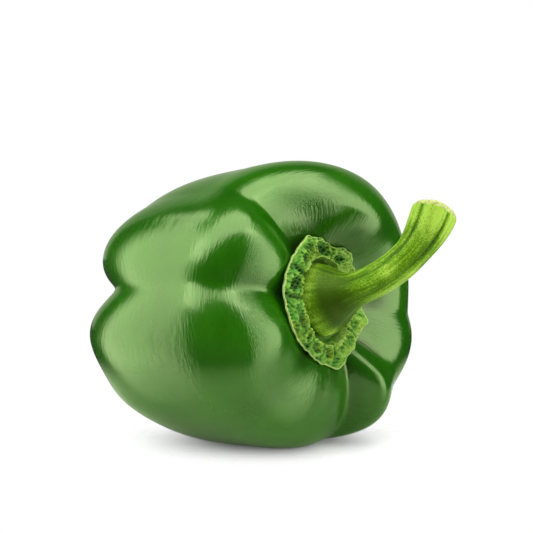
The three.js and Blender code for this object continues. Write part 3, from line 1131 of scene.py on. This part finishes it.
    def build(self) -> bpy.types.Object:
        """Makes the upper face from the middle out, and the under face back to the middle.

        Returns:
            The dressed calyx.
        """
        angle = np.arange(self.columns) / self.columns * FULL_TURN
        seat = np.linspace(self.seat_start, self.seat_radius, self.seat_rings)
        lip = np.linspace(self.seat_radius, self.lip_radius, self.lip_rings + 1)[1:]
        shares = np.linspace(0.0, 1.0, self.flesh_rings + 1)[1:] ** self.flesh_crowding
        inner = np.concatenate([seat, lip])[:, None] * np.ones(self.columns)
        outer = blend(self.lip_radius, self.rim(angle)[None, :], shares[:, None])
        radius = np.concatenate([inner, outer])
        turn = np.broadcast_to(angle, radius.shape)
        under_shares = np.linspace(1.0, self.under_start, self.under_rings)
        under_radius = under_shares[:, None] * self.rim(angle)[None, :]
        under_turn = np.broadcast_to(angle, under_radius.shape)
        upper = self.top(radius, turn)
        under = self.over_seat(under_radius, under_turn, self.clearance, self.groove_follow)
        rings = np.concatenate([upper, under])
        rings = FORM.placed(rings[..., 0], rings[..., 1], rings[..., 2])
        centre = np.zeros(1)
        first = self.top(centre, centre)[0]
        last = self.over_seat(centre, centre, self.clearance, self.groove_follow)[0]
        relief = self.thickness(radius, turn)[1]
        rim_share = (radius - self.lip_radius) / (self.rim(turn) - self.lip_radius)
        # Tone with painted shade: darker in the pits, partly the flesh's own colour, and darker on one
        # side of the ring.
        tone_with_painted_shade = self.level_tone + self.height_tone_and_shade * relief + self.turn_painted_shade * np.cos(turn)
        under_tone = np.full(under_radius.size + 2, self.level_tone)
        pale = self.edge_paleness * self.pale_edge.at(rim_share)
        under_pale = np.full(under_radius.size, self.under_paleness)
        patterns = {
            "relief": np.concatenate([tone_with_painted_shade.ravel(), under_tone]),
            "rim": np.concatenate([pale.ravel(), under_pale, [0.0, self.under_paleness]]),
        }
        mesh = RingMesh("pepper_calyx", rings, FORM.placed(*first), FORM.placed(*last))
        piece = mesh.build(patterns)
        dress(piece, "calyx", [CalyxFlesh().material()])
        return piece


@dataclass
class Stem:
    """The stem: a flared foot in the calyx, a ribbed bend and a slanting cut end.

    Lengths and radii are in millimetres, and turns round the stem in degrees. The ramps and the
    other places along it are shares of its length, from 0 at the seat to 1 at the cut. The tones
    say how far the ribs and the pale ends move the rind's colour along its range; the ribs' part is
    painted shade in their valleys and painted light on their crests. The dark band under the bend
    is painted shade.
    """

    calyx: Calyx
    foot_radius: float = 10.6
    shaft_radius: float = 4.7
    flare_length: float = 0.19
    flare_edge: float = 3.0
    foot_corners: float = 0.025
    corner_reach: float = 0.12
    corner_shift: float = 0.6
    under_shares: tuple[float, ...] = (0.15, 0.35, 0.6, 0.8, 0.93)
    wall_start: float = 0.045
    end_swell: float = 1.5
    end_swelling: Ramp = Ramp(0.7, 1.0)
    end_along: float = 37.4
    end_across: float = 9.4
    end_up: float = 22.2
    foot_pull: float = 19.0
    end_pull: tuple[float, float, float] = (6.0, 3.5, 14.0)
    rib_count: int = 5
    rib_depth: float = 0.04
    rib_fullness: float = 0.55
    rib_growth: Ramp = Ramp(0.12, 0.4)
    rib_turn: float = 80.0
    cut_facing: tuple[float, float, float] = (0.1, 0.6, 0.75)
    slant: Ramp = Ramp(0.6, 1.0)
    dome: float = 3.0
    cap_angles: tuple[float, float] = (0.12, 0.48 * math.pi)
    # Painted shade under the bend: the side of the stem it lies on, its strength and its span along the
    # stem.
    under_bend_shade_turn: float = 345.0
    under_bend_shade_strength: float = 0.95
    under_bend_shade_start: Ramp = Ramp(0.08, 0.15)
    under_bend_shade_end: Ramp = Ramp(0.36, 0.2)
    level_tone: float = 0.29
    # Painted shading: darker in the rib valleys and lighter on the crests.
    rib_painted_shading: float = 0.25
    middle_tone: float = 0.3
    pale_end: Ramp = Ramp(0.82, 0.98)
    end_tone: float = 0.34
    pale_foot: Ramp = Ramp(0.15, 0.07)
    foot_tone: float = 0.22
    fibre_radius: float = 5.0
    fibre_stretch: float = 0.07
    rows: int = 200
    columns: int = 180
    cap_rings: int = 12

    def bottom(self, radius: np.ndarray, angle: np.ndarray) -> np.ndarray:
        """Points of the foot's underside, just over the seat of the calyx.

        Args:
            radius: distance from the middle of the seat.
            angle: angle round it in radians.

        Returns:
            Points in the fruit's own frame: along, across and up.
        """
        points = self.calyx.top(radius, angle)
        points[..., 0] += self.calyx.clearance
        return points

    def line(self, share: np.ndarray) -> tuple[np.ndarray, np.ndarray]:
        """Centre line: a cubic curve from the seat to the cut end.

        Args:
            share: 0 at the seat, 1 at the cut end.

        Returns:
            Points and unit directions in the fruit's own frame.
        """
        centre = np.zeros(1)
        start = self.bottom(centre, centre)[0]
        lean = np.array([1.0, FORM.hollow_across, FORM.hollow_upward])
        lean /= np.linalg.norm(lean)
        end = start + np.array([self.end_along, self.end_across, self.end_up])
        guides = [start, start + lean * self.foot_pull, end - np.array(self.end_pull), end]
        t = share[:, None]
        rest = 1.0 - t
        weights = [rest**3, 3 * rest**2 * t, 3 * rest * t**2, t**3]
        points = sum(weight * guide for weight, guide in zip(weights, guides))
        slopes = [guides[1] - guides[0], guides[2] - guides[1], guides[3] - guides[2]]
        directions = rest**2 * slopes[0] + 2 * rest * t * slopes[1] + t**2 * slopes[2]
        return points, directions / np.linalg.norm(directions, axis=1, keepdims=True)

    def girth(self, share: np.ndarray) -> np.ndarray:
        """Radius along the stem: the shaft, plus a flare at the foot and a soft swell at the end.

        The flare is the exponential of minus a power of the share over the flare's length.

        Args:
            share: 0 at the seat, 1 at the cut end.

        Returns:
            Radii without the ribs.
        """
        fade = np.exp(-((share / self.flare_length) ** self.flare_edge))
        flare = (self.foot_radius - self.shaft_radius) * fade
        return self.shaft_radius + flare + self.end_swell * self.end_swelling.at(share)

    def ribs(self, share: np.ndarray, angle: np.ndarray) -> np.ndarray:
        """Rib height: twice a power of the size of a sine round the stem, less one.

        It fades out towards the foot.

        Args:
            share: 0 at the seat, 1 at the cut end.
            angle: angle round the stem in radians.

        Returns:
            Heights from -1 in a narrow valley to 1 on a broad crest.
        """
        wave = np.abs(np.sin(self.rib_count * angle / 2.0 + math.radians(self.rib_turn)))
        return self.rib_growth.at(share) * (2.0 * wave**self.rib_fullness - 1.0)

    def wall(
        self, share: np.ndarray, angle: np.ndarray, scale: np.ndarray, on_cut: np.ndarray
    ) -> np.ndarray:
        """Points on the stem's wall, slid along the stem onto the slanting cut.

        Args:
            share: place along the stem for each ring.
            angle: angles round the stem in radians.
            scale: part of the radius to use for each ring.
            on_cut: how far each ring is slid onto the plane of the cut, from 0 to 1.

        Returns:
            One ring of points for each share, in the fruit's own frame.
        """
        centre, direction = self.line(share)
        upward = np.array([0.0, 0.0, 1.0]) - direction * direction[:, 2:3]
        upward /= np.linalg.norm(upward, axis=1, keepdims=True)
        sideways = np.cross(upward, direction)
        ribs = self.ribs(share[:, None], angle[None, :])
        near_foot = bell(share, self.corner_reach)[:, None]
        corners = near_foot * np.sin(self.rib_count * angle + self.corner_shift)[None, :]
        uneven = 1.0 + self.rib_depth * ribs + self.foot_corners * corners
        radius = self.girth(share)[:, None] * uneven * scale[:, None]
        rising = upward[:, None, :] * np.sin(angle)[None, :, None]
        spokes = rising - sideways[:, None, :] * np.cos(angle)[None, :, None]
        points = spokes * radius[..., None]
        facing = np.array(self.cut_facing) / np.linalg.norm(self.cut_facing)
        slide = -(points @ facing) / (direction @ facing)[:, None] * on_cut[:, None]
        return centre[:, None, :] + points + direction[:, None, :] * slide[..., None]

    def build(self) -> bpy.types.Object:
        """Makes the underside of the foot, the wall and the domed cut.

        Returns:
            The dressed stem.
        """
        angle = np.arange(self.columns) / self.columns * FULL_TURN
        under_radius = (np.array(self.under_shares) * self.foot_radius)[:, None] * np.ones(self.columns)
        under = self.bottom(under_radius, np.broadcast_to(angle, under_radius.shape))
        share = np.linspace(self.wall_start, 1.0, self.rows)
        side = self.wall(share, angle, np.ones(self.rows), self.slant.at(share))
        cap_scale = np.cos(np.linspace(*self.cap_angles, self.cap_rings))
        ones = np.ones(self.cap_rings)
        cap = self.wall(ones, angle, cap_scale, ones)
        direction = self.line(np.ones(1))[1][0]
        cap += direction * (self.dome * np.sqrt(1.0 - cap_scale**2))[:, None, None]
        rings = np.concatenate([under, side, cap])
        rings = FORM.placed(rings[..., 0], rings[..., 1], rings[..., 2])
        centre = np.zeros(1)
        first = FORM.placed(*self.bottom(centre, centre)[0])
        last = FORM.placed(*(self.line(np.ones(1))[0][0] + direction * self.dome))
        patterns = self.patterns(share, angle, len(under))
        piece = RingMesh("pepper_stem", rings, first, last).build(patterns)
        cut_start = (len(under) + self.rows - 1) * self.columns
        quads = (len(rings) - 1) * self.columns
        material_index = np.zeros(len(piece.data.polygons), np.int32)
        material_index[cut_start:quads] = 1
        material_index[quads + self.columns :] = 1
        piece.data.polygons.foreach_set("material_index", material_index)
        dress(piece, "stem", [StemRind().material(), CutFlesh().material()])
        return piece

    def patterns(
        self, share: np.ndarray, angle: np.ndarray, under_rings: int
    ) -> dict[str, np.ndarray]:
        """Values for the rind's colour, the painted shade under the bend and the fibres' places.

        The colour rises with the ribs, as painted shade in their valleys and painted light on their
        crests, and towards both ends. The fibres' places are those of a round rod, squeezed along it.

        Args:
            share: place along the stem for each ring of the wall.
            angle: angles round the stem in radians.
            under_rings: number of rings under the foot.

        Returns:
            The values by attribute name, for all rings and the two end points.
        """
        along = np.concatenate([np.zeros(under_rings), share, np.ones(self.cap_rings)])[:, None]
        ribs = self.ribs(along, angle[None, :])
        across = self.fibre_radius * np.cos(angle)[None, :]
        up = self.fibre_radius * np.sin(angle)[None, :]
        length = float(np.linalg.norm([self.end_along, self.end_across, self.end_up]))
        squeezed = self.fibre_stretch * length
        fibre = np.stack(np.broadcast_arrays(across, up, squeezed * along), axis=-1)
        fibre_ends = [[0.0, 0.0, 0.0], [0.0, 0.0, squeezed]]
        # Painted shade under the bend, on one side of the stem near its foot.
        below = (1.0 + np.cos(angle - math.radians(self.under_bend_shade_turn))) / 2.0
        band = self.under_bend_shade_start.at(along) * self.under_bend_shade_end.at(along)
        hollow = self.under_bend_shade_strength * band * below[None, :]
        paler = self.end_tone * self.pale_end.at(along) + self.foot_tone * self.pale_foot.at(along)
        # Painted shading from the ribs, darker in the valleys; the ends paler.
        tone_with_painted_shade = self.level_tone + self.rib_painted_shading * ribs + paler
        return {
            "rib": np.concatenate([tone_with_painted_shade.ravel(), [self.middle_tone, self.middle_tone]]),
            "hollow": np.concatenate([hollow.ravel(), [0.0, 0.0]]),
            "fibre": np.concatenate([fibre.reshape(-1, 3), fibre_ends]),
        }


class Side(Enum):
    """Where a light panel stands, as seen from the camera."""

    LEFT = "left"
    RIGHT = "right"
    TOP = "top"
    BACK = "back"
    CORNER = "corner"


@dataclass(frozen=True)
class Edges:
    """One value for each edge of a panel, for someone who stands there and faces the pepper.

    The panel overhead has its bottom edge on the side that its azimuth points to.
    """

    left: float
    right: float
    bottom: float
    top: float


@dataclass(frozen=True)
class Panel:
    """A soft light panel, square to the line from the pepper to the foot of that line on it.

    The azimuth of that line is measured from the camera to the right, and the elevation from the
    floor, both in degrees, and the distance is in metres. The reach says how far the panel goes
    from that foot to each edge, as the tangent of the angle at the pepper. A reach below zero
    leaves the foot outside the panel. The fade is the share of the panel's size over which it
    grows, from nothing at that edge, to its full brightness.
    """

    side: Side
    azimuth: float
    elevation: float
    distance: float
    brightness: float
    reach: Edges
    fade: Edges


@dataclass
class Studio:
    """Plain pale floor, soft light panels and the camera.

    Lengths are in metres, the lens and its sensor in millimetres. How clear the floor is, to the
    camera and in reflections, is given by three numbers: its clearness near the pepper, the radius
    where that starts to grow and the radius where the floor is fully clear. The stretch says how
    much shorter the camera's radii are along the view.
    """

    camera_azimuth: float = 37.0
    camera_elevation: float = 14.0
    camera_distance: float = 0.440
    aim: tuple[float, float, float] = (-0.005797, 0.001019, 0.0539)
    lens: float = 100.0
    sensor_width: float = 36.0
    nearest_seen: float = 0.01
    white: str = "#FFFFFF"
    room_strength: float = 0.06
    backdrop_strength: float = 1.0
    floor_white: str = "#F2F2F2"
    floor_rings: int = 39
    floor_columns: int = 96
    floor_radius: float = 0.5
    floor_seen: tuple[float, float, float] = (0.0, 0.004, 0.078)
    floor_stretch: float = 0.265
    floor_mirrored: tuple[float, float, float] = (0.5, 0.06, 0.1)
    panels: tuple[Panel, ...] = (
        Panel(Side.LEFT, -95, 0, 0.6, 4.7, Edges(0.48, 0.72, 1.8, 1.0), Edges(0.26, 0.36, 0.5, 0.02)),
        Panel(Side.RIGHT, 59, 0, 0.6, 5.7, Edges(0.42, 0.44, 1.6, 2.0), Edges(0.02, 0.02, 0.45, 0.1)),
        Panel(Side.TOP, 20, 90, 0.55, 6.4, Edges(2.6, 0.6, 0.62, 0.28), Edges(0.02, 0.02, 0.1, 0.1)),
        Panel(Side.CORNER, -121, 0, 0.6, 4.8, Edges(0.3, 0.3, -0.7, 1.4), Edges(0.3, 0.3, 0.2, 0.2)),
        Panel(Side.BACK, 180, 0, 0.9, 0.45, Edges(0.8, 0.8, 0.25, 0.9), Edges(0.02, 0.02, 0.02, 0.3)),
    )

    def facing(self, azimuth: float, elevation: float) -> Vector:
        """Unit vector from the pepper towards a place.

        Args:
            azimuth: degrees from the camera to the right.
            elevation: degrees up from the floor.

        Returns:
            The direction in the pepper's frame.
        """
        turn = math.radians(self.camera_azimuth + azimuth)
        rise = math.radians(elevation)
        level = math.cos(rise)
        return Vector((math.sin(turn) * level, -math.cos(turn) * level, math.sin(rise)))

    def add_camera(self) -> None:
        """Puts the camera where the photograph was taken from."""
        data = bpy.data.cameras.new("camera")
        data.lens = self.lens
        data.sensor_width = self.sensor_width
        data.clip_start = self.nearest_seen
        camera = bpy.data.objects.new("camera", data)
        back = self.facing(0.0, self.camera_elevation)
        turned = back.to_track_quat("Z", "Y").to_matrix().to_4x4()
        place = Vector(self.aim) + back * self.camera_distance
        camera.matrix_world = Matrix.Translation(place) @ turned
        bpy.context.scene.collection.objects.link(camera)
        bpy.context.scene.camera = camera

    def add_panel(self, panel: Panel) -> None:
        """Adds one light panel.

        The lamp's power is its area times pi times the brightness of its surface. Near an edge its
        brightness is that of the middle times the soft step of the distance from the edge over the
        fade's width.

        Args:
            panel: where it stands, its size and its brightness.
        """
        reach, fade = panel.reach, panel.fade
        data = bpy.data.lights.new("panel_" + panel.side.value, "AREA")
        data.shape = "RECTANGLE"
        data.size = (reach.left + reach.right) * panel.distance
        data.size_y = (reach.bottom + reach.top) * panel.distance
        data.energy = data.size * data.size_y * math.pi * panel.brightness
        tree = NodeTree(data)
        spot = tree.add("NewGeometry", "Parametric")
        across = tree.add("SeparateXYZ", "X", Vector=spot)
        upward = tree.add("SeparateXYZ", "Y", Vector=spot)
        strength: bpy.types.NodeSocket | float = 1.0
        sides = (
            (across, 0.0, fade.left),
            (across, 1.0, 1.0 - fade.right),
            (upward, 0.0, fade.bottom),
            (upward, 1.0, 1.0 - fade.top),
        )
        for place, edge, full in sides:
            share = tree.add("MapRange", "Result", SMOOTH_STEP, Value=place, n1=edge, n2=full)
            strength = tree.add("Math", 0, MULTIPLY, n0=share, n1=strength)
        shine = tree.add("Emission", 0, Strength=strength)
        tree.add("OutputLight", Surface=shine)
        lamp = bpy.data.objects.new("panel_" + panel.side.value, data)
        outward = self.facing(panel.azimuth, panel.elevation)
        upright = Vector((0.0, 0.0, 1.0))
        if panel.side is Side.TOP:
            ahead = self.facing(panel.azimuth, 0.0)
            axes = Matrix((upright.cross(ahead), -ahead, outward)).transposed()
        else:
            axes = Matrix((upright.cross(outward), upright, outward)).transposed()
        middle = Vector(self.aim) + outward * panel.distance
        middle += axes.col[0] * (reach.right - reach.left) / 2.0 * panel.distance
        middle += axes.col[1] * (reach.top - reach.bottom) / 2.0 * panel.distance
        lamp.matrix_world = Matrix.Translation(middle) @ axes.to_4x4()
        bpy.context.scene.collection.objects.link(lamp)

    def add_world(self) -> None:
        """White backdrop for the camera and a dim room for everything else."""
        world = bpy.data.worlds.new("studio")
        bpy.context.scene.world = world
        tree = NodeTree(world)
        seen = tree.add("LightPath", "Is Camera Ray")
        white = linear(self.white)
        room = tree.add("Background", 0, Color=white, Strength=self.room_strength)
        backdrop = tree.add("Background", 0, Color=white, Strength=self.backdrop_strength)
        mixed = tree.add("MixShader", 0, Fac=seen, n1=room, n2=backdrop)
        tree.add("OutputWorld", Surface=mixed)

    def add_floor(self) -> None:
        """Pale floor: a wide disc that sends light up, and that fades out early for the camera.

        So no horizon shows. Where the skin mirrors the floor, the lower parts of the panels shine
        through it.
        """
        columns = self.floor_columns
        radius = np.linspace(0.0, self.floor_radius, self.floor_rings + 1)[1:, None]
        angle = (np.arange(columns) / columns * FULL_TURN)[None, :]
        circles = np.broadcast_arrays(radius * np.cos(angle), radius * np.sin(angle), 0.0)
        points = np.concatenate([np.stack(circles, axis=-1).reshape(-1, 3), np.zeros((1, 3))])
        index = np.arange(len(points) - 1).reshape(-1, columns)
        centre = np.full(columns, len(points) - 1)
        fan = np.stack([centre, index[0], np.roll(index[0], -1)], axis=-1)
        mesh = bpy.data.meshes.new("floor")
        mesh.from_pydata(points.tolist(), [], ring_quads(index).tolist() + fan.tolist())
        floor = bpy.data.objects.new("floor", mesh)
        bpy.context.scene.collection.objects.link(floor)
        material, tree = new_material("paper_white_matt")
        place = tree.add("TexCoord", "Object")
        turn = (0.0, 0.0, math.radians(self.camera_azimuth))
        shrink = (1.0, self.floor_stretch, 1.0)
        as_texture = {"vector_type": "TEXTURE"}
        turned = tree.add("Mapping", 0, as_texture, Vector=place, Rotation=turn, Scale=shrink)
        seen = tree.add("LightPath", "Is Camera Ray")
        mirrored = tree.add("LightPath", "Is Glossy Ray")
        fade: bpy.types.NodeSocket | float = 0.0
        looks = ((turned, seen, self.floor_seen), (place, mirrored, self.floor_mirrored))
        for spot, ray, (least, near, far) in looks:
            distance = tree.add("VectorMath", "Value", {"operation": "LENGTH"}, n0=spot)
            away = tree.add(
                "MapRange", "Result", SMOOTH_STEP, Value=distance, n1=near, n2=far, n3=least
            )
            fade = tree.add("Math", 0, MULTIPLY_ADD, n0=away, n1=ray, n2=fade)
        paper = tree.add("BsdfDiffuse", 0, Color=linear(self.floor_white))
        clear = tree.add("BsdfTransparent", 0)
        mixed = tree.add("MixShader", 0, Fac=fade, n1=paper, n2=clear)
        tree.add("OutputMaterial", Surface=mixed)
        mesh.materials.append(material)

    def build(self) -> None:
        """Sets up the camera, the light and the floor."""
        self.add_camera()
        for panel in self.panels:
            self.add_panel(panel)
        self.add_world()
        self.add_floor()
        bpy.context.scene.view_settings.view_transform = "Standard"
        LOG.info("studio: %d panels", len(self.panels))


def main() -> None:
    """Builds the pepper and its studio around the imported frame."""
    logging.basicConfig(level=logging.INFO, format="%(message)s")
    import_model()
    Studio().build()
    Fruit().build()
    calyx = Calyx()
    calyx.build()
    Stem(calyx).build()


if __name__ == "__main__":
    main()
